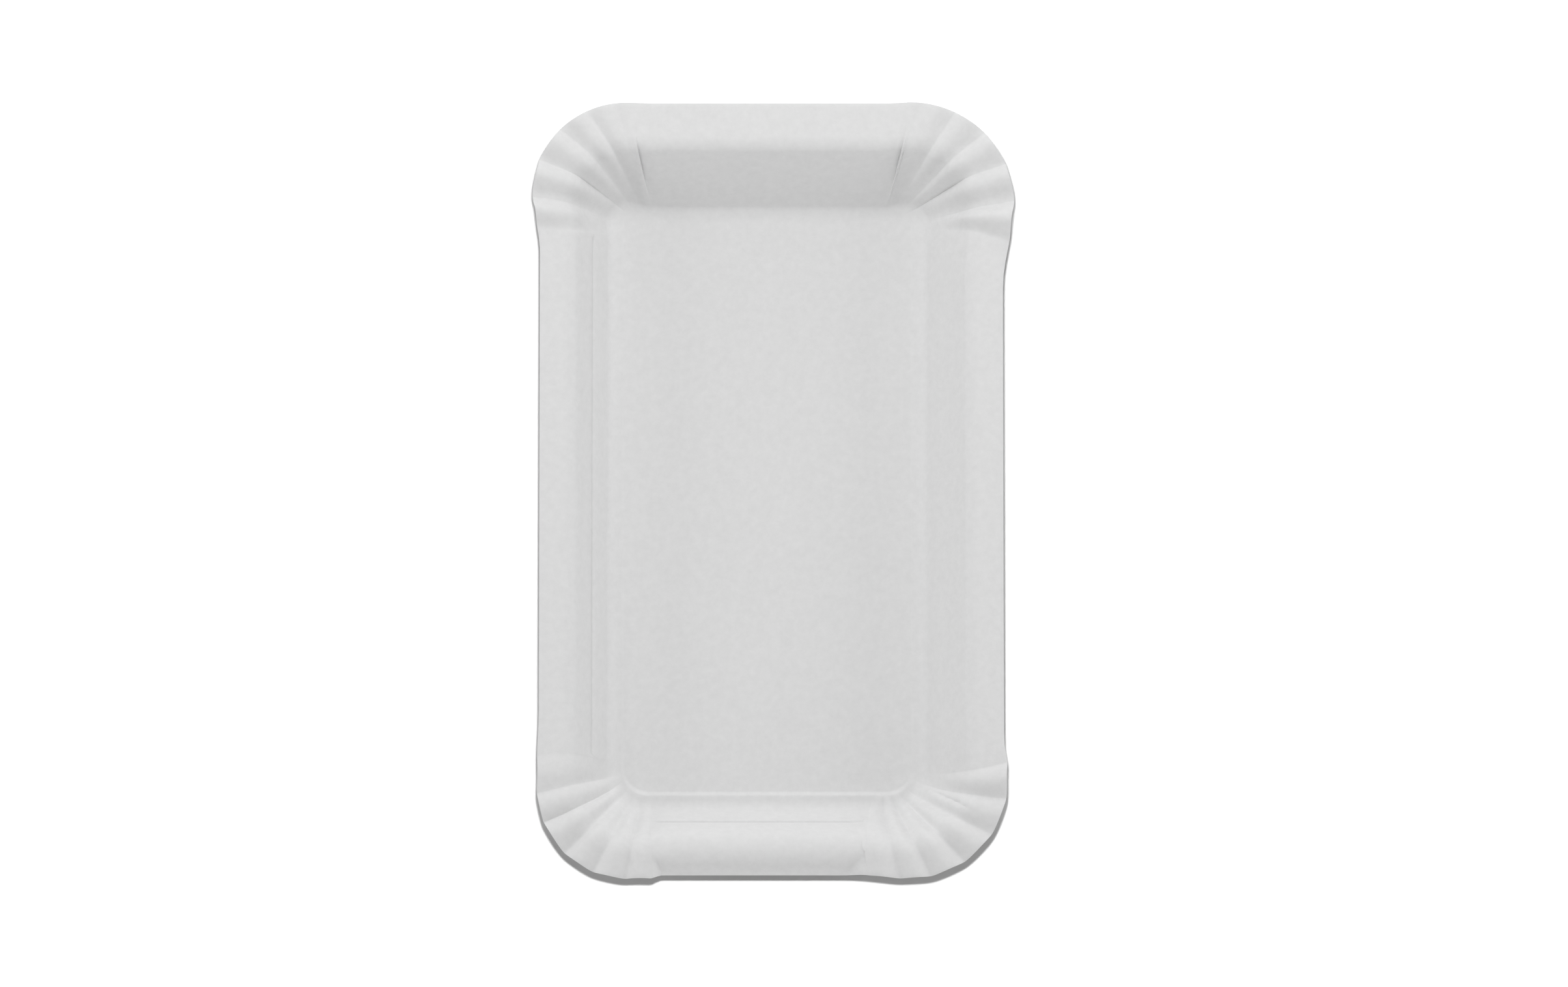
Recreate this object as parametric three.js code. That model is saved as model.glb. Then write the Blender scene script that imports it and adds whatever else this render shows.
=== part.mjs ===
// Rectangular paper plate: one sheet of white board, pressed into a flat base with sloping walls and a
// turned-out lip. The corners are gathered into flutes, rounded on top with a sharp fold between each two.
// Millimetres, +Z up, +Y towards the far end. The origin is the middle of the outline, on the surface that
// the plate stands on.
import * as THREE from "three";

// The board
const boardThickness = 0.5;
const boardColour = 0xd8d8d8;

// The flat base
const baseLength = 121;
const baseWidth = 61;
const baseCornerRadius = 5;

// The rim, seen from above. It lies a little off the middle of the base, towards the far end
const rimLength = 159.5;
const rimWidth = 95.4;
const rimCornerRadius = 18;
const rimShift = 0.9;

// The wall's section: a low step round the base, a hollow foot, a straight wall, a rounded crest and a lip.
// The near lip rolls down between its two corners, which stay as level as the sides
const crestHeight = 15;
const stepRun = 0.8;
const footRadius = 4;
const crestRadius = 3.6;
const sideWall = { lipRun: 4.8, lipDrop: 0.7, stepRise: 0.2 };
const farWall = { lipRun: 7, lipDrop: 0.8, stepRise: 0.1 };
const nearWall = { lipRun: 4.9, lipDrop: 1.7, stepRise: 0.6 };
const nearCornerWall = { lipRun: 4.9, lipDrop: 0.7, stepRise: 0.6 };

// The pressed line along the wall, on the near end and the left side
const lineHeight = 7.2;
const lineWidth = 1;
const lineDepth = 0.16;

// The fluted corners
const flutesPerCorner = 6;
const fluteDepth = 2.1;
const fluteOverrun = 5; // how far the outer flutes reach along the straight rim
const fluteSink = 0.45; // the share of a flute that lies below the wall's own surface

// How far each corner stands out past the straight rim, at its long side and at its end
const cornerFlares = {
  farRight: { side: 2.3, end: 0.2 },
  farLeft: { side: 1.5, end: 0.2 },
  nearLeft: { side: 1.1, end: 1.1 },
  nearRight: { side: 1.1, end: 0.8 },
};

// How finely the curves are divided
const stepsPerFlute = 6;
const footSteps = 3;
const crestSteps = 5;
const lipSteps = 2;
const straightStations = [0.05, 0.13, 0.3, 0.5, 0.7, 0.87, 0.95]; // shares of a straight's length

const smooth = (t) => THREE.MathUtils.smoothstep(t, 0, 1);
const lerp = THREE.MathUtils.lerp;

// Where the section changes from arc to straight: the wall is the common tangent of the foot and crest arcs,
// and the lip is the tangent from the crest arc to the rim's edge. Heights are of the upper surface.
function sectionTangents(run, wall) {
  const footCentre = new THREE.Vector2(stepRun, boardThickness + wall.stepRise + footRadius);
  const crestCentre = new THREE.Vector2(run - wall.lipRun, crestHeight - crestRadius);
  const between = crestCentre.clone().sub(footCentre);
  const wallAngle = between.angle() + Math.asin((footRadius + crestRadius) / between.length());
  const edge = new THREE.Vector2(run, crestHeight - wall.lipDrop);
  const toEdge = edge.clone().sub(crestCentre);
  const lipAngle = Math.asin(crestRadius / toEdge.length()) - Math.atan2(toEdge.y, toEdge.x);
  return { footCentre, crestCentre, wallAngle, edge, lipAngle };
}

// A point at the given slope on an arc that bends up (the foot, sign 1) or over (the crest, sign -1)
function arcPoint(centre, radius, slope, sign) {
  const x = centre.x + sign * radius * Math.sin(slope);
  const z = centre.y - sign * radius * Math.cos(slope);
  return { x, z, slope };
}

// The section as points from the base's edge (x = 0) to the rim's edge (x = run), each with the surface's slope
function wallSection(run, wall, hasLine) {
  const { footCentre, crestCentre, wallAngle, edge, lipAngle } = sectionTangents(run, wall);
  const points = [{ x: 0, z: boardThickness, slope: 0 }];
  for (let i = 0; i <= footSteps; i++) {
    points.push(arcPoint(footCentre, footRadius, (wallAngle * i) / footSteps, 1));
  }
  const wallFoot = points.at(-1);
  const wallTop = arcPoint(crestCentre, crestRadius, wallAngle, -1);
  for (const offset of [-0.5, 0, 0.5]) {
    const z = lineHeight + offset * lineWidth * Math.sin(wallAngle);
    const x = lerp(wallFoot.x, wallTop.x, (z - wallFoot.z) / (wallTop.z - wallFoot.z));
    const depth = hasLine && offset === 0 ? lineDepth : 0;
    points.push({
      x: x + depth * Math.sin(wallAngle),
      z: z - depth * Math.cos(wallAngle),
      slope: wallAngle,
    });
  }
  for (let i = 0; i <= crestSteps; i++) {
    points.push(arcPoint(crestCentre, crestRadius, lerp(wallAngle, -lipAngle, i / crestSteps), -1));
  }
  const crestEnd = points.at(-1);
  for (let i = 1; i <= lipSteps; i++) {
    const share = i / lipSteps;
    points.push({
      x: lerp(crestEnd.x, edge.x, share),
      z: lerp(crestEnd.z, edge.y, share),
      slope: -lipAngle,
    });
  }
  return points;
}

// Two sections mixed point by point, for a corner that turns from a side to an end
function mixSections(first, second, share) {
  return first.map((point, i) => ({
    x: lerp(point.x, second[i].x, share),
    z: lerp(point.z, second[i].z, share),
    slope: lerp(point.slope, second[i].slope, share),
  }));
}

// A rounded corner of an outline, with a straight stretch at each end of the arc, from the side to the end.
// Gives the point at a share of its length.
function cornerPath(halfWidth, halfLength, radius, straight, shift) {
  const path = new THREE.Path();
  path.moveTo(halfWidth, halfLength - radius - straight + shift);
  path.lineTo(halfWidth, halfLength - radius + shift);
  path.absarc(halfWidth - radius, halfLength - radius + shift, radius, 0, Math.PI / 2);
  path.lineTo(halfWidth - radius - straight, halfLength + shift);
  return (share) => path.getPointAt(share);
}

// One corner's stations, from its long side to its end. Each has a point on the base's edge, a point on the
// rim, the section between them and the height of the flute there as a share of its depth.
function cornerStations(flare, signX, signY, sideSection, endSection) {
  const shift = rimShift * signY;
  const inner = cornerPath(baseWidth / 2, baseLength / 2, baseCornerRadius, 0, 0);
  const outer = cornerPath(rimWidth / 2, rimLength / 2, rimCornerRadius, fluteOverrun, shift);
  const mirror = new THREE.Vector2(signX, signY);
  const count = flutesPerCorner * stepsPerFlute;
  return Array.from({ length: count + 1 }, (_, i) => {
    const share = i / count;
    const flutes = share * flutesPerCorner;
    const fromEnd = smooth(Math.min(flutes, flutesPerCorner - flutes));
    const rise = i % stepsPerFlute === 0 ? 0 : Math.abs(Math.sin(Math.PI * flutes));
    const base = inner(share).multiply(mirror);
    const rim = outer(share).multiply(mirror);
    const outward = rim.clone().sub(base).normalize();
    rim.addScaledVector(outward, lerp(flare.side, flare.end, smooth(share)) * fromEnd);
    return {
      base,
      rim,
      section: mixSections(sideSection, endSection, smooth(share)),
      flute: rise - fluteSink * fromEnd,
    };
  });
}

// The stations strictly between the last of one corner and the first of the next, with that side's own section
function straightBetween(from, to, section) {
  return straightStations.map((share) => ({
    base: from.base.clone().lerp(to.base, share),
    rim: from.rim.clone().lerp(to.rim, share),
    section,
    flute: 0,
  }));
}

// Every station round the plate, anticlockwise from the right side, seen from above
function allStations() {
  const sideRun = (rimWidth - baseWidth) / 2;
  const endRun = (rimLength - baseLength) / 2;
  const farRun = endRun + rimShift;
  const nearRun = endRun - rimShift;
  const side = wallSection(sideRun, sideWall, false);
  const linedSide = wallSection(sideRun, sideWall, true);
  const far = wallSection(farRun, farWall, false);
  const near = wallSection(nearRun, nearWall, true);
  const nearCorner = wallSection(nearRun, nearCornerWall, false);
  const parts = [
    { corner: cornerStations(cornerFlares.farRight, 1, 1, side, far), next: far },
    { corner: cornerStations(cornerFlares.farLeft, -1, 1, side, far).reverse(), next: linedSide },
    { corner: cornerStations(cornerFlares.nearLeft, -1, -1, side, nearCorner), next: near },
    { corner: cornerStations(cornerFlares.nearRight, 1, -1, side, nearCorner).reverse(), next: side },
  ];
  return parts.flatMap(({ corner, next }, i) => {
    const following = parts[(i + 1) % parts.length].corner;
    return [...corner, ...straightBetween(corner.at(-1), following[0], next)];
  });
}

// The upper and lower surface of the board at one station, from the base's edge to the rim's edge
function boardAt({ base, rim, section, flute }) {
  const outward = rim.clone().sub(base);
  const run = outward.length();
  outward.normalize();
  const sectionRun = section.at(-1).x;
  const upper = [];
  const lower = [];
  const squareTo = (slope) =>
    new THREE.Vector3(-Math.sin(slope) * outward.x, -Math.sin(slope) * outward.y, Math.cos(slope));
  for (const { x, z, slope } of section) {
    const share = x / sectionRun;
    const point = new THREE.Vector3(base.x + outward.x * run * share, base.y + outward.y * run * share, z);
    // On the lip a flute rises straight up, so that the rim stays smooth when seen from above
    point.addScaledVector(squareTo(Math.max(slope, 0)), flute * fluteDepth * share);
    upper.push(point);
    lower.push(point.clone().addScaledVector(squareTo(slope), -boardThickness));
  }
  return { upper, lower };
}

// The closed sheet: both surfaces, the cut edge at the rim, and the flat base above and below
function plateGeometry() {
  const stations = allStations().map(boardAt);
  const rows = stations[0].upper.length;
  const positions = stations.flatMap(({ upper, lower }) => [...upper, ...lower]).flatMap((p) => p.toArray());
  const wrap = (station) => station % stations.length;
  const upperAt = (station, row) => wrap(station) * 2 * rows + row;
  const lowerAt = (station, row) => upperAt(station, row) + rows;
  const triangles = [];
  const addQuad = (a, b, c, d) => triangles.push(a, b, c, a, c, d);
  for (let s = 0; s < stations.length; s++) {
    for (let r = 0; r < rows - 1; r++) {
      addQuad(upperAt(s, r), upperAt(s, r + 1), upperAt(s + 1, r + 1), upperAt(s + 1, r));
      addQuad(lowerAt(s, r), lowerAt(s + 1, r), lowerAt(s + 1, r + 1), lowerAt(s, r + 1));
    }
    addQuad(upperAt(s, rows - 1), lowerAt(s, rows - 1), lowerAt(s + 1, rows - 1), upperAt(s + 1, rows - 1));
  }
  const baseOutline = stations.map(({ upper }) => new THREE.Vector2(upper[0].x, upper[0].y));
  for (const [a, b, c] of THREE.ShapeUtils.triangulateShape(baseOutline, [])) {
    triangles.push(upperAt(a, 0), upperAt(b, 0), upperAt(c, 0));
    triangles.push(lowerAt(a, 0), lowerAt(c, 0), lowerAt(b, 0));
  }
  const geometry = new THREE.BufferGeometry();
  geometry.setAttribute("position", new THREE.Float32BufferAttribute(positions, 3));
  geometry.setIndex(triangles);
  geometry.computeBoundingBox();
  const middle = geometry.boundingBox.getCenter(new THREE.Vector3());
  geometry.translate(-middle.x, -middle.y, 0);
  geometry.computeVertexNormals();
  return geometry;
}

function makePlate() {
  const board = new THREE.MeshStandardMaterial({ color: boardColour, roughness: 0.85, metalness: 0 });
  const mesh = new THREE.Mesh(plateGeometry(), board);
  mesh.name = "plate";
  return mesh;
}

const paperPlate = new THREE.Group();
paperPlate.add(makePlate());

export default paperPlate;
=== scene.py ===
import bpy
import bmesh
import math
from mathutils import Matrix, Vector


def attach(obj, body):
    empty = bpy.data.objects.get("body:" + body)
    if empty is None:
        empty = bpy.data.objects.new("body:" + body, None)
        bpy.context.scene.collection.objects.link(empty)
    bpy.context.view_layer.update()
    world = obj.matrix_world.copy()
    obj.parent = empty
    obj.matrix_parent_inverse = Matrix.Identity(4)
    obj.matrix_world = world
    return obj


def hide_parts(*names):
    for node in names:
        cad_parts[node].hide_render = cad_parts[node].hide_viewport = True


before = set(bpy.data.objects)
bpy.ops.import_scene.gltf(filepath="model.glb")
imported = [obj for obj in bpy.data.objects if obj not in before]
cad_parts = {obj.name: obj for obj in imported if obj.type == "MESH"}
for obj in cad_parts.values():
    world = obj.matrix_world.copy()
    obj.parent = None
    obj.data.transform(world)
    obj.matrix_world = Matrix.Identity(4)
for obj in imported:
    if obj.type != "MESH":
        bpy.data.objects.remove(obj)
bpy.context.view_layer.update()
scene = bpy.context.scene

# Lengths in the settings are in millimetres, seen from above with the far end up.
mm = 0.001


# helpers

def mix(a, b, t):
    return a + (b - a) * t


def ease(t):
    t = min(max(t, 0.0), 1.0)
    return t * t * (3 - 2 * t)


def hump(t):
    # 1 at t = 0, easing to 0 at t = 1 on either side
    return ease(1 - abs(t))


# The plate: a pressed sheet of board. Its base is drawn first, then pulled out ring by ring
# into the wall and the lip. Every ring has the same stations, so a fold keeps its own edge.

plate = {
    "board": 0.5,
    "sideX": (-48.3, 47.4),       # the straight rims on the long sides
    "endY": (-78.9, 80.8),        # the straight rims on the ends
    "baseX": (-30.8, 28.3),
    "baseY": (-60.9, 59.7),
    # the crest's height and radius
    "crests": {"left": (15, 3.7), "right": (15, 3.7), "near": (15, 4.4), "far": (15, 3.7),
               "nearCorner": (15, 3.7), "farCorner": (14.4, 5.6)},
    # the lip's run outwards from the crest and its fall
    "lips": {"left": (4.6, 0.1), "right": (5.0, 0.1), "near": (5.0, 3.8), "far": (7.2, 0.4),
             "nearCorner": (4.9, 0.9), "farCorner": (5.8, -0.3)},
    # the low step round the base (run and rise), the ledge behind it and the radius of the wall's foot
    "feet": {"left": (1.0, 0.1, 0.3, 3.0), "right": (1.0, 0.1, 0.3, 3.0), "near": (1.1, 0.9, 0.6, 3.2),
             "far": (0.2, 0.0, 0.1, 1.5), "nearCorner": (1.1, 0.8, 0.6, 3.2),
             "farCorner": (0.2, 0.0, 0.1, 1.8)},
    "curl": (1.0, 0.2),           # the last bit of the lip turns down a little
    "lines": {"left": 7.4, "near": 7.7, "right": None, "far": None},   # height of the pressed line
    "plainLine": 6.5,             # where its rings lie on a wall that has none
    "lineWidth": 1.1,
    "lineDepth": {"left": 0.15, "near": 0.55},
    "paintedLineShade": 0.1,             # how much darker the board is painted along the pressed line, where it is pressed hardest: painted shade in the groove
    "fluteDepth": 0.23,           # depth of a flute as a share of its width
    "sink": 0.3,                  # how far the folds lie below the plain wall, as a share of a flute's depth
    "sinkFull": 0.4,              # where between base and rim they are that far down
    "drawIn": 0.13,               # how far the rim is drawn in, as a share of how far it is lifted
    "drawFrom": 0.55,             # where between base and rim that starts
    "soft": 0.36,                 # how far the bottom of a flute's fold is rounded
    "creaseSoft": 0.06,           # the same where the fold is creased
    "turnMargin": 4.0,            # how far past its quarter circle a corner turns from side to end
    "stationsPerFlute": 22,
    "stationsPerSide": 26,
    "stationsPerEnd": 24,
    "even": 0.3,                  # how evenly a straight side's stations are spaced, not crowded at its ends
    "smoothAngle": 32,            # edges that turn more than this stay sharp
}

# Settle: how far past the corner a side takes on its own section. Flare: how far the corner stands out
# past the straight rim at its long side and at its end, each with the place along the rim where it starts
# to fade and where it ends. Flutes: for each, its share of the full depth, where between the base (0) and
# the rim (1) it starts and is full, and how far its crest leans to the end (above 1) or the long side
# (below 1). Folds: place along the rim and along the base's edge from the corner's middle, sideways bend,
# and either how rounded it is (None for the plate's own) or the crease in it: depth, width, where between
# base and rim it is deepest and how far it reaches from there. Both lists run from the long side to the end.
corners = {
    "farRight": {
        "sign": (1, 1), "baseRadius": 3.0, "rimRadius": 20.2, "settle": 2.5,
        "flare": ((2.3, 17, 34), (0.2, 12, 20)),
        "flutes": [(2.2, 0.15, 0.85, 1.4), (1.6, 0, 0.7, 1.5), (1.6, 0, 0.7, 1.5), (1.3, 0.1, 0.8, 1.4),
                   (0.9, 0.25, 0.85, 1.2), (0.2, 0.3, 0.8, 1)],
        "folds": [(-25.2, -2.8, 0.8, 0.1), (-15.9, -1.2, -0.4, None),
                  (-8.8, 0.5, 0.6, (0.6, 0.32, 0.36, 0.36)), (-1.4, 1.6, 0.2, None), (5.6, 2.9, 0.0, None),
                  (12.7, 4.0, 0.3, 0.9), (15.1, 5.0, -0.9, (0.9, 0.22, 0.45, 0.36))],
    },
    "farLeft": {
        "sign": (-1, 1), "baseRadius": 3.0, "rimRadius": 18.4, "settle": 2.5,
        "flare": ((1.5, 15, 27), (0.1, 12, 20)),
        "flutes": [(2.1, 0.15, 0.85, 1.5), (1.6, 0, 0.7, 1.5), (1.6, 0, 0.7, 1.5), (1.4, 0.1, 0.8, 1.4),
                   (1.0, 0.25, 0.85, 1.2), (0.2, 0.3, 0.8, 1)],
        "folds": [(-22.6, -3.2, -0.8, 0.1), (-15.5, -1.7, 0.4, None),
                  (-8.1, 0.4, 0.8, (0.25, 0.16, 0.4, 0.4)), (-0.7, 1.6, 0.8, None), (5.8, 2.9, 0.5, None),
                  (12.0, 4.1, -0.1, 0.9), (14.2, 5.0, -0.1, (0.75, 0.18, 0.42, 0.33))],
    },
    "nearLeft": {
        "sign": (-1, -1), "baseRadius": 5.0, "rimRadius": 18.2, "settle": 1.5,
        "flare": ((0.3, 20, 30), (0.8, 19, 21.5)),
        "flutes": [(0.6, 0.1, 0.6, 1), (1.1, 0, 0.4, 0.9), (1.3, 0, 0.4, 0.9), (1.2, 0, 0.4, 0.9),
                   (1.2, 0, 0.4, 0.9), (0.9, 0, 0.4, 0.9)],
        "folds": [(-20.9, -4.2, -0.9, None), (-12.9, -3.0, 0.4, None),
                  (-6.8, -1.7, 0.9, (0.1, 0.3, 0.6, 0.5)), (0.6, -0.2, 0.4, None),
                  (7.4, 1.2, 0.2, None), (14.0, 2.7, 0.0, None), (19.7, 4.9, -0.5, None)],
    },
    "nearRight": {
        "sign": (1, -1), "baseRadius": 5.0, "rimRadius": 19.4, "settle": 5.0,
        "flare": ((0.7, 18, 24), (0.7, 18, 26)),
        "flutes": [(1.3, 0.2, 0.8, 0.9), (1.2, 0, 0.5, 0.9), (1.3, 0, 0.35, 0.9), (1.3, 0, 0.25, 0.9),
                   (1.2, 0, 0.25, 0.9), (0.9, 0, 0.25, 0.9)],
        "folds": [(-19.1, -3.2, 1.4, None), (-11.6, -1.9, 1.2, None), (-4.0, 0.2, 0.8, None),
                  (3.7, 1.9, 0.3, None), (11.0, 3.3, 0.2, None), (17.2, 4.7, 0.6, None),
                  (23.8, 6.2, 1.5, None)],
        # a short crease across the second flute: its place in the flute low and high, then as in the folds
        "stray": (1, (0.05, 0.75), 0.7, 0.45, 0.5, 0.3),
    },
}


def roundedCorner(halfX, halfY, radius, along):
    # point and outward direction at a distance along a rounded corner, from its middle towards the end
    half = radius * math.pi / 4
    if along < -half:
        return Vector((halfX, halfY - radius + along + half)), Vector((1, 0))
    if along > half:
        return Vector((halfX - radius - along + half, halfY)), Vector((0, 1))
    turn = math.pi / 4 + along / radius
    out = Vector((math.cos(turn), math.sin(turn)))
    return Vector((halfX - radius, halfY - radius)) + out * radius, out


def turned(quarter, along):
    # 0 on the long side's part of a corner, easing to 1 on the end's
    half = quarter + plate["turnMargin"]
    return ease((along + half) / (2 * half))


def flareAt(name, along):
    # how far the rim stands out past the plain outline, at a distance along it from the corner's middle
    c = corners[name]
    quarter = c["rimRadius"] * math.pi / 4
    (sideOut, sideFull, sideEnd), (endOut, endFull, endEnd) = c["flare"]
    sideOut *= 1 - ease((-along - sideFull) / (sideEnd - sideFull))
    endOut *= 1 - ease((along - endFull) / (endEnd - endFull))
    return mix(sideOut, endOut, turned(quarter, along))


def wallSection(run, side, lineAt):
    # the upper surface from the base's edge to the rim: run, height, slope and how hard it is pressed, which
    # also sets the painted shade along the pressed line
    lipRun, lipDrop = plate["lips"][side]
    step, rise, ledge, foot = plate["feet"][side]
    crest, bend = plate["crests"][side]
    footMid = Vector((step + ledge, plate["board"] + rise + foot))
    crestMid = Vector((run - lipRun, crest - bend))
    between = crestMid - footMid
    steep = math.atan2(between.y, between.x) + math.asin((foot + bend) / between.length)
    edge = Vector((run, crest - lipDrop))
    reach = edge - crestMid
    fall = math.asin(bend / reach.length) - math.atan2(reach.y, reach.x)
    rings = []
    for i in range(7):
        t = i / 6
        rings.append((step * t, plate["board"] + rise * ease(t), 0.0, 0.0))
    rings.append((footMid.x, plate["board"] + rise, 0.0, 0.0))
    for i in range(1, 9):
        a = steep * i / 8
        rings.append((footMid.x + foot * math.sin(a), footMid.y - foot * math.cos(a), a, 0.0))
    low = Vector(rings[-1][:2])
    high = Vector((crestMid.x - bend * math.sin(steep), crestMid.y + bend * math.cos(steep)))
    level = lineAt or plate["plainLine"]
    half = plate["lineWidth"] / 2 * math.sin(steep)
    marks = [mix(low.y, level - half, t) for t in (0.34, 0.67)]
    marks += [level + half * o for o in (-1, -0.6, -0.3, 0, 0.3, 0.6, 1)]
    marks += [mix(level + half, high.y, t) for t in (0.25, 0.5, 0.75)]
    for z in marks:
        t = (z - low.y) / (high.y - low.y)
        pressAndPaintedShade = hump((z - level) / half) if lineAt else 0.0
        dip = pressAndPaintedShade * plate["lineDepth"][side] if lineAt else 0.0
        outward = mix(low.x, high.x, t) + dip * math.sin(steep)
        rings.append((outward, z - dip * math.cos(steep), steep, pressAndPaintedShade))
    for i in range(13):
        a = mix(steep, -fall, i / 12)
        rings.append((crestMid.x - bend * math.sin(a), crestMid.y + bend * math.cos(a), a, 0.0))
    last = Vector(rings[-1][:2])
    for t in (0.15, 0.3, 0.45, 0.6, 0.72, 0.82, 0.88, 0.92, 0.96, 1):
        p = last.lerp(edge, t)
        curl, drop = plate["curl"]
        turn = max(0.0, 1 - (run - p.x) / curl)
        rings.append((p.x, p.y - drop * turn * turn, -fall - 2 * drop / curl * turn, 0.0))
    return rings


def cornerStations(name, side, end, last):
    # each station: base point, rim point, sideways bend, section, and where it lies in its flute, with that
    # flute's width, creases, settings and how far it sinks
    c = corners[name]
    sx, sy = c["sign"]
    halfX = plate["sideX"][1] if sx > 0 else -plate["sideX"][0]
    halfY = plate["endY"][1] if sy > 0 else -plate["endY"][0]
    baseX = plate["baseX"][1] if sx > 0 else -plate["baseX"][0]
    baseY = plate["baseY"][1] if sy > 0 else -plate["baseY"][0]
    folds = c["folds"]
    quarter = c["rimRadius"] * math.pi / 4
    lastFrom = folds[-3][0]
    # width times rise of each flute, at the rim and at the base, and their mean at each fold between two
    sizes = [[f[0] * (b[k] - a[k]) for k in (0, 1)] for f, a, b in zip(c["flutes"], folds, folds[1:])]
    sunk = [[0, 0]] + [[(p + q) / 2 for p, q in zip(a, b)] for a, b in zip(sizes, sizes[1:])] + [[0, 0]]
    stations = []
    for i in range(len(folds) - 1):
        steps = plate["stationsPerFlute"]
        for j in range(steps + (i == len(folds) - 2)):
            t = (1 - math.cos(math.pi * j / steps)) / 2
            rimAt, baseAt, bow = (mix(folds[i][k], folds[i + 1][k], t) for k in range(3))
            rim, out = roundedCorner(halfX, halfY, c["rimRadius"], rimAt)
            rim = rim + out * flareAt(name, rimAt)
            base = roundedCorner(baseX, baseY, c["baseRadius"], baseAt)[0]
            section = mixSections(side, end, turned(quarter, rimAt))
            section = mixSections(section, last, ease((rimAt - lastFrom) / (folds[-1][0] - lastFrom)))
            stations.append({
                "base": Vector((base.x * sx, base.y * sy)), "rim": Vector((rim.x * sx, rim.y * sy)),
                "bow": bow * sx * sy, "section": section, "share": t,
                "wide": (folds[i + 1][0] - folds[i][0], folds[i + 1][1] - folds[i][1]),
                "creases": (folds[i][3], folds[i + 1][3]), "flute": c["flutes"][i],
                "sunk": [mix(a, b, t) for a, b in zip(sunk[i], sunk[i + 1])],
                "stray": c["stray"] if "stray" in c and c["stray"][0] == i else None,
            })
    return stations if sx * sy > 0 else stations[::-1]


def mixSections(first, second, t):
    return [tuple(mix(p, q, t) for p, q in zip(a, b)) for a, b in zip(first, second)]


def straightStations(names, a, b, section, axis, level, count):
    # from the last station of one corner to the first of the next; the rim eases from the corners'
    # flare to the straight line, and the section from the corners' to the side's own
    stations = []
    first, second = (corners[k]["folds"][-1 if axis == 1 else 0][0] for k in names)
    whole = (b["rim"] - a["rim"]).length
    outward = 1 if axis == 1 else -1
    sign = 1 if level > 0 else -1
    for i in range(1, count):
        t = (1 - math.cos(math.pi * i / count)) / 2
        t = mix(t, i / count, plate["even"])
        rim = a["rim"].lerp(b["rim"], t)
        flare = flareAt(names[0], first + outward * whole * t)
        flare += flareAt(names[1], second + outward * whole * (1 - t))
        rim[axis] = level + sign * flare
        own = mixSections(section, a["section"], 1 - ease(whole * t / corners[names[0]]["settle"]))
        own = mixSections(own, b["section"], 1 - ease(whole * (1 - t) / corners[names[1]]["settle"]))
        stations.append({"base": a["base"].lerp(b["base"], t), "rim": rim, "bow": 0.0, "section": own,
                         "share": None})
    return stations


def allStations():
    runs = {
        "left": plate["baseX"][0] - plate["sideX"][0], "right": plate["sideX"][1] - plate["baseX"][1],
        "near": plate["baseY"][0] - plate["endY"][0], "far": plate["endY"][1] - plate["baseY"][1],
    }
    sides = {k: wallSection(runs[k], k, plate["lines"][k]) for k in runs}
    nearCorner = wallSection(runs["near"], "nearCorner", None)
    farCorner = wallSection(runs["far"], "farCorner", None)
    rightSide, leftSide = (wallSection(runs[k], k, None) for k in ("right", "left"))
    bends = {
        "farRight": cornerStations("farRight", rightSide, farCorner, sides["far"]),
        "farLeft": cornerStations("farLeft", leftSide, farCorner, sides["far"]),
        "nearLeft": cornerStations("nearLeft", leftSide, nearCorner, nearCorner),
        "nearRight": cornerStations("nearRight", rightSide, nearCorner, nearCorner),
    }
    stations = []
    for first, second, side, axis, level in (
            ("farRight", "farLeft", "far", 1, plate["endY"][1]),
            ("farLeft", "nearLeft", "left", 0, plate["sideX"][0]),
            ("nearLeft", "nearRight", "near", 1, plate["endY"][0]),
            ("nearRight", "farRight", "right", 0, plate["sideX"][1])):
        end = axis == 1
        count = plate["stationsPerEnd"] if end else plate["stationsPerSide"]
        stations += bends[first]
        stations += straightStations((first, second), bends[first][-1], bends[second][0], sides[side], axis,
                                     level, count)
    return stations


def roundingOf(crease):
    # how far a fold's bottom is rounded
    if crease is None:
        return plate["soft"]
    return crease if isinstance(crease, float) else plate["creaseSoft"]


def fluteHeight(s, t):
    # how far the board is lifted or pressed off the plain wall, t from the base to the rim
    share = s["share"]
    rise, start, full, lean = s["flute"]
    first, second = s["creases"]
    wide = mix(s["wide"][1], s["wide"][0], t)
    soft = mix(roundingOf(first), roundingOf(second), share)
    wave = math.sqrt(math.sin(math.pi * share ** lean) ** 2 + soft * soft) - soft
    height = wave * rise * wide * ease((t - start) / (full - start))
    height -= plate["sink"] * mix(s["sunk"][1], s["sunk"][0], t) * ease(t / plate["sinkFull"])
    height *= plate["fluteDepth"]
    cuts = [(c, away) for c, away in ((first, share), (second, 1 - share)) if isinstance(c, tuple)]
    if s["stray"]:
        low, high = s["stray"][1]
        cuts.append((s["stray"][2:], abs(share - mix(low, high, t))))
    for (depth, width, middle, reach), away in cuts:
        height -= depth * math.exp(-away * wide / width) * hump((t - middle) / reach)
    return height


def surfacePoint(s, ring):
    run, z, slope, pressAndPaintedShade = s["section"][ring]
    t = run / s["section"][-1][0]
    out = s["rim"] - s["base"]
    along = out.normalized()
    side = Vector((-along.y, along.x))
    flat = s["base"] + out * t + side * (s["bow"] * 4 * t * (1 - t))
    point = Vector((flat.x, flat.y, z))
    if s["share"] is not None:
        pitch = max(slope, 0.0)
        normal = Vector((-math.sin(pitch) * along.x, -math.sin(pitch) * along.y, math.cos(pitch)))
        lift = fluteHeight(s, t)
        point += normal * lift
        nearRim = ease((t - plate["drawFrom"]) / (1 - plate["drawFrom"]))
        drawn = along * (plate["drawIn"] * lift * nearRim)
        point -= Vector((drawn.x, drawn.y, 0))
    return point


stations = allStations()
ringCount = len(stations[0]["section"])

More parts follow.
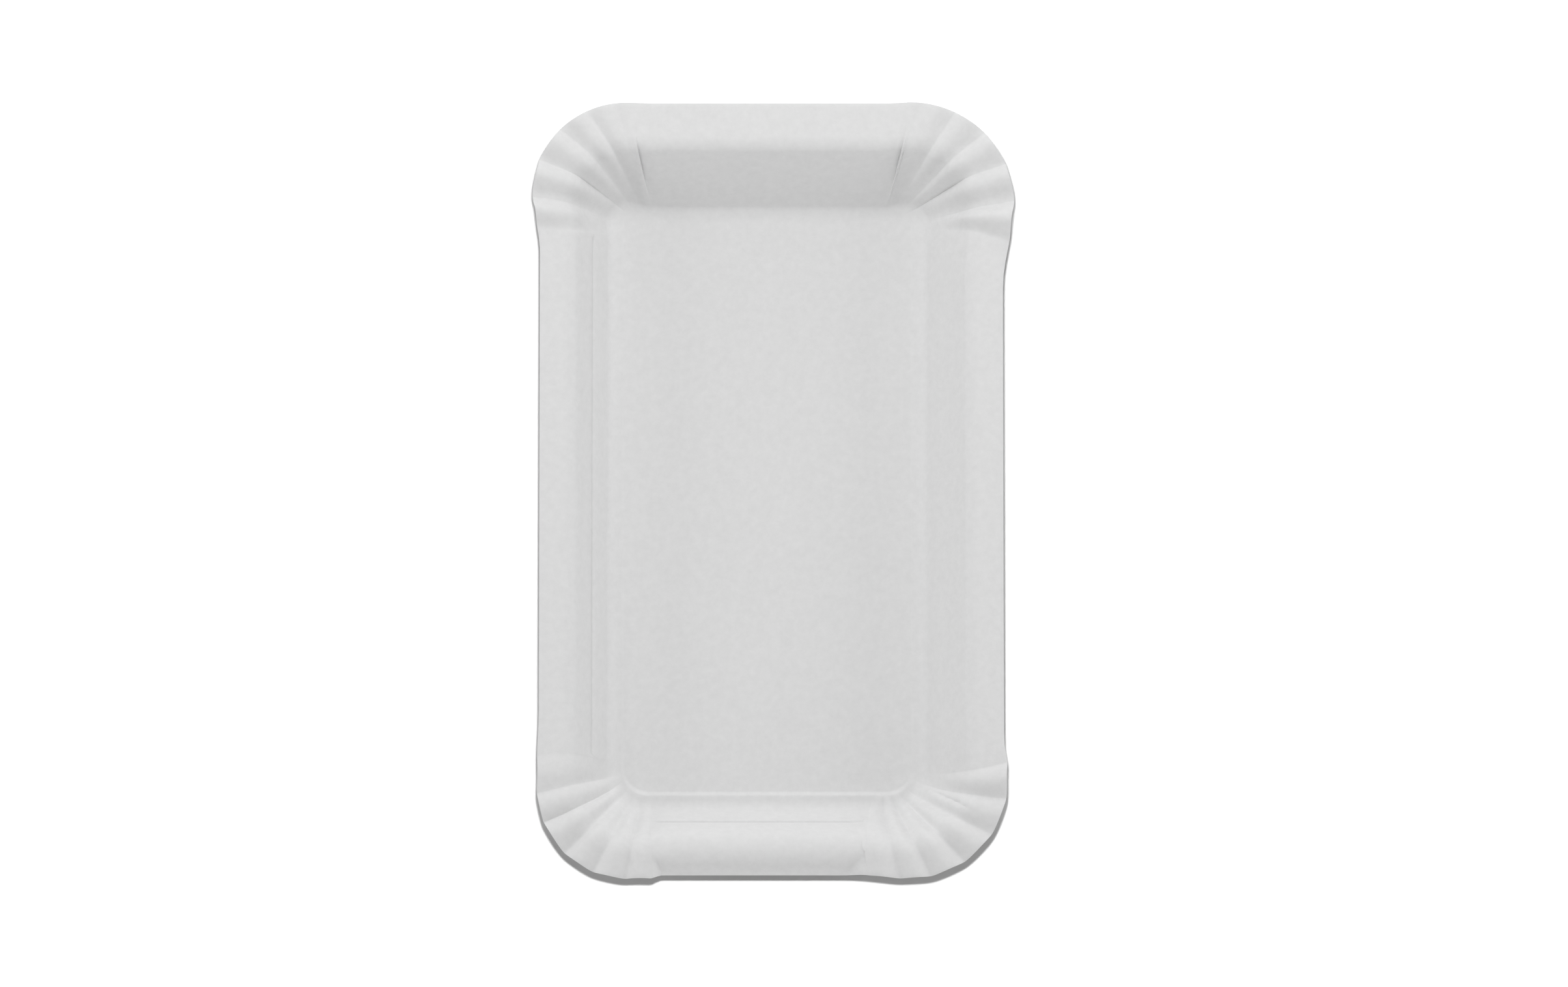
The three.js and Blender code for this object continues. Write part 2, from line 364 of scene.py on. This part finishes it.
bpy.ops.mesh.primitive_circle_add(vertices=len(stations), radius=0.05, fill_type="NGON")
board = bpy.context.object
board.name = "paperPlate"
bpy.ops.object.mode_set(mode="EDIT")
bpy.ops.mesh.select_mode(type="VERT")
mesh = bmesh.from_edit_mesh(board.data)
mesh.faces.ensure_lookup_table()
order = [v.index for v in mesh.faces[0].verts]
if mesh.faces[0].normal.z < 0:
    order.reverse()
for s, index in zip(stations, order):
    mesh.verts.ensure_lookup_table()
    mesh.verts[index].co = surfacePoint(s, 0) * mm
bmesh.update_edit_mesh(board.data)
# how much painted shade each vertex on the pressed line gets
paintedShadeAt = {}

for ring in range(1, ringCount):
    bpy.ops.mesh.select_all(action="DESELECT")
    mesh = bmesh.from_edit_mesh(board.data)
    for e in mesh.edges:
        if e.is_boundary:
            e.select = True
    bmesh.update_edit_mesh(board.data)
    bpy.ops.mesh.extrude_edges_move(TRANSFORM_OT_translate={"value": (0, 0, 0)})
    mesh = bmesh.from_edit_mesh(board.data)
    mesh.verts.ensure_lookup_table()
    following = []
    for s, index in zip(stations, order):
        v = mesh.verts[index]
        outer = [e.other_vert(v) for e in v.link_edges if e.other_vert(v).select]
        outer[0].co = surfacePoint(s, ring) * mm
        following.append(outer[0].index)
        if s["section"][ring][3] > 0:
            paintedShadeAt[outer[0].index] = s["section"][ring][3]
    order = following
    bmesh.update_edit_mesh(board.data)

bpy.ops.mesh.select_all(action="SELECT")
bpy.ops.mesh.normals_make_consistent(inside=False)
bpy.ops.object.mode_set(mode="OBJECT")
# the painted shade along the pressed line, kept on the board for its material
pressAndPaintedShade = board.data.attributes.new("pressAndPaintedShade", "FLOAT", "POINT")
for index, share in paintedShadeAt.items():
    pressAndPaintedShade.data[index].value = share
print("plate drawn:", len(stations), "stations,", ringCount, "rings")

# the thickness of the board
thick = board.modifiers.new("board", "SOLIDIFY")
thick.thickness = plate["board"] * mm
thick.offset = -1
thick.use_even_offset = False
bpy.ops.object.modifier_apply(modifier=thick.name)
bpy.ops.object.shade_smooth_by_angle(angle=math.radians(plate["smoothAngle"]))
print("plate thickened:", len(board.data.polygons), "faces")


# The board's surface: matt, uncoated, with faint fibres, and painted shade along the pressed line.
paper = {
    "shade": 0.76, "roughness": 0.9, "specular": 0.25,
    "mottle": 0.035,              # how far the shade wanders, as a share
    "mottleScale": 650, "mottleDetail": 5, "mottleRoughness": 0.65,
    "fibreScale": 1500, "fibreDetail": 4, "fibreStrength": 0.12, "fibreHeight": 0.0002,
}


def paperMaterial():
    m = bpy.data.materials.new("paper")
    m.use_nodes = True
    nodes, links = m.node_tree.nodes, m.node_tree.links
    shader = nodes["Principled BSDF"]
    shader.inputs["Roughness"].default_value = paper["roughness"]
    shader.inputs["Specular IOR Level"].default_value = paper["specular"]
    where = nodes.new("ShaderNodeTexCoord")
    mottle = nodes.new("ShaderNodeTexNoise")
    mottle.inputs["Scale"].default_value = paper["mottleScale"]
    mottle.inputs["Detail"].default_value = paper["mottleDetail"]
    mottle.inputs["Roughness"].default_value = paper["mottleRoughness"]
    shades = nodes.new("ShaderNodeMapRange")
    shades.inputs["From Min"].default_value = 0.25
    shades.inputs["From Max"].default_value = 0.75
    shades.inputs["To Min"].default_value = paper["shade"] * (1 - paper["mottle"])
    shades.inputs["To Max"].default_value = paper["shade"] * (1 + paper["mottle"])
    fibre = nodes.new("ShaderNodeTexNoise")
    fibre.inputs["Scale"].default_value = paper["fibreScale"]
    fibre.inputs["Detail"].default_value = paper["fibreDetail"]
    bump = nodes.new("ShaderNodeBump")
    bump.inputs["Strength"].default_value = paper["fibreStrength"]
    bump.inputs["Distance"].default_value = paper["fibreHeight"]
    links.new(where.outputs["Object"], mottle.inputs["Vector"])
    links.new(where.outputs["Object"], fibre.inputs["Vector"])
    links.new(mottle.outputs["Fac"], shades.inputs["Value"])
    # painted shade: the board is coloured darker along the pressed line, where its groove is shaded
    pressAndPaintedShade = nodes.new("ShaderNodeAttribute")
    pressAndPaintedShade.attribute_name = "pressAndPaintedShade"
    paintedLineDarkening = nodes.new("ShaderNodeMapRange")
    paintedLineDarkening.inputs["To Min"].default_value = 1
    paintedLineDarkening.inputs["To Max"].default_value = 1 - plate["paintedLineShade"]
    both = nodes.new("ShaderNodeMath")
    both.operation = "MULTIPLY"
    links.new(pressAndPaintedShade.outputs["Fac"], paintedLineDarkening.inputs["Value"])
    links.new(shades.outputs["Result"], both.inputs[0])
    links.new(paintedLineDarkening.outputs["Result"], both.inputs[1])
    links.new(both.outputs[0], shader.inputs["Base Color"])
    links.new(fibre.outputs["Fac"], bump.inputs["Height"])
    links.new(bump.outputs["Normal"], shader.inputs["Normal"])
    return m


board.data.materials.append(paperMaterial())
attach(board, "root")
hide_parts("plate")
print("paper made")


# The studio: a white floor, soft light from the far and near ends, a soft box high at the far end, one low
# on each side, and a lamp that only whitens the floor and keeps the plate's shadow crisp.
studio = {
    "farGlow": 1.18, "nearGlow": 1.48,
    # where each lamp stands, its size and its watts
    "boxes": [((0, 0.516, 0.737), 0.4, 3.55), ((0.846, 0, 0.308), 0.4, 1.51),
              ((-0.846, 0, 0.308), 0.4, 1.51)],
    "floorLamp": ((0, -0.03, 0.95), 0.036, 15.6),
    "floor": (0.5, 0.4),          # shade to the camera, and to the light that bounces off it
}

bpy.ops.mesh.primitive_plane_add(size=12, location=(0, 0, 0))
floor = bpy.context.object
floor.name = "floor"
white = bpy.data.materials.new("floorWhite")
white.use_nodes = True
nodes, links = white.node_tree.nodes, white.node_tree.links
nodes.clear()
seen = nodes.new("ShaderNodeLightPath")
both = nodes.new("ShaderNodeMixShader")
out = nodes.new("ShaderNodeOutputMaterial")
for socket, shade in zip((2, 1), studio["floor"]):
    dull = nodes.new("ShaderNodeBsdfDiffuse")
    dull.inputs["Color"].default_value = (shade, shade, shade, 1)
    links.new(dull.outputs[0], both.inputs[socket])
links.new(seen.outputs["Is Camera Ray"], both.inputs["Fac"])
links.new(both.outputs[0], out.inputs["Surface"])
floor.data.materials.append(white)

world = bpy.data.worlds.new("studio")
scene.world = world
world.use_nodes = True
nodes, links = world.node_tree.nodes, world.node_tree.links
nodes.clear()
where = nodes.new("ShaderNodeTexCoord")
split = nodes.new("ShaderNodeSeparateXYZ")
seen = nodes.new("ShaderNodeLightPath")
pick = nodes.new("ShaderNodeMix")
pick.data_type = "FLOAT"
pick.inputs["B"].default_value = 1.0
sky = nodes.new("ShaderNodeBackground")
out = nodes.new("ShaderNodeOutputWorld")
glow = nodes.new("ShaderNodeMath")
glow.operation = "MAXIMUM"
for socket, strength in ((0, studio["farGlow"]), (1, -studio["nearGlow"])):
    times = nodes.new("ShaderNodeMath")
    times.operation = "MULTIPLY"
    times.inputs[1].default_value = strength
    links.new(split.outputs["Y"], times.inputs[0])
    links.new(times.outputs[0], glow.inputs[socket])
links.new(where.outputs["Generated"], split.inputs[0])
links.new(seen.outputs["Is Camera Ray"], pick.inputs["Factor"])
links.new(glow.outputs[0], pick.inputs["A"])
links.new(pick.outputs["Result"], sky.inputs["Strength"])
links.new(sky.outputs[0], out.inputs["Surface"])

for spot, size, watts in studio["boxes"]:
    bpy.ops.object.light_add(type="AREA", location=spot)
    box = bpy.context.object
    box.name = "softBox"
    box.data.shape = "SQUARE"
    box.data.size = size
    box.data.energy = watts
    box.rotation_euler = (-Vector(spot)).to_track_quat("-Z", "Y").to_euler()

spot, size, watts = studio["floorLamp"]
bpy.ops.object.light_add(type="AREA", location=spot)
lamp = bpy.context.object
lamp.name = "floorLamp"
lamp.data.shape = "DISK"
lamp.data.size = size
lamp.data.energy = watts
lamp.visible_camera = False
floorOnly = bpy.data.collections.new("floorOnly")
floorOnly.objects.link(floor)
lamp.light_linking.receiver_collection = floorOnly
print("studio set")

# The camera: nearly straight above, leaning a little towards the near end, far off with a long lens.
shot = {"tilt": 5.5, "lens": 200, "aim": (2.15, -0.4, 15.0), "pixelsPerMm": 7.45, "width": 2408}
view = bpy.data.cameras.new("camera")
view.lens = shot["lens"]
view.clip_end = 20
camera = bpy.data.objects.new("camera", view)
scene.collection.objects.link(camera)
away = shot["width"] / shot["pixelsPerMm"] * shot["lens"] / view.sensor_width * mm
tilt = math.radians(shot["tilt"])
camera.location = Vector(shot["aim"]) * mm + Vector((0, -math.sin(tilt), math.cos(tilt))) * away
camera.rotation_euler = (tilt, 0, 0)
scene.camera = camera
scene.view_settings.view_transform = "Standard"
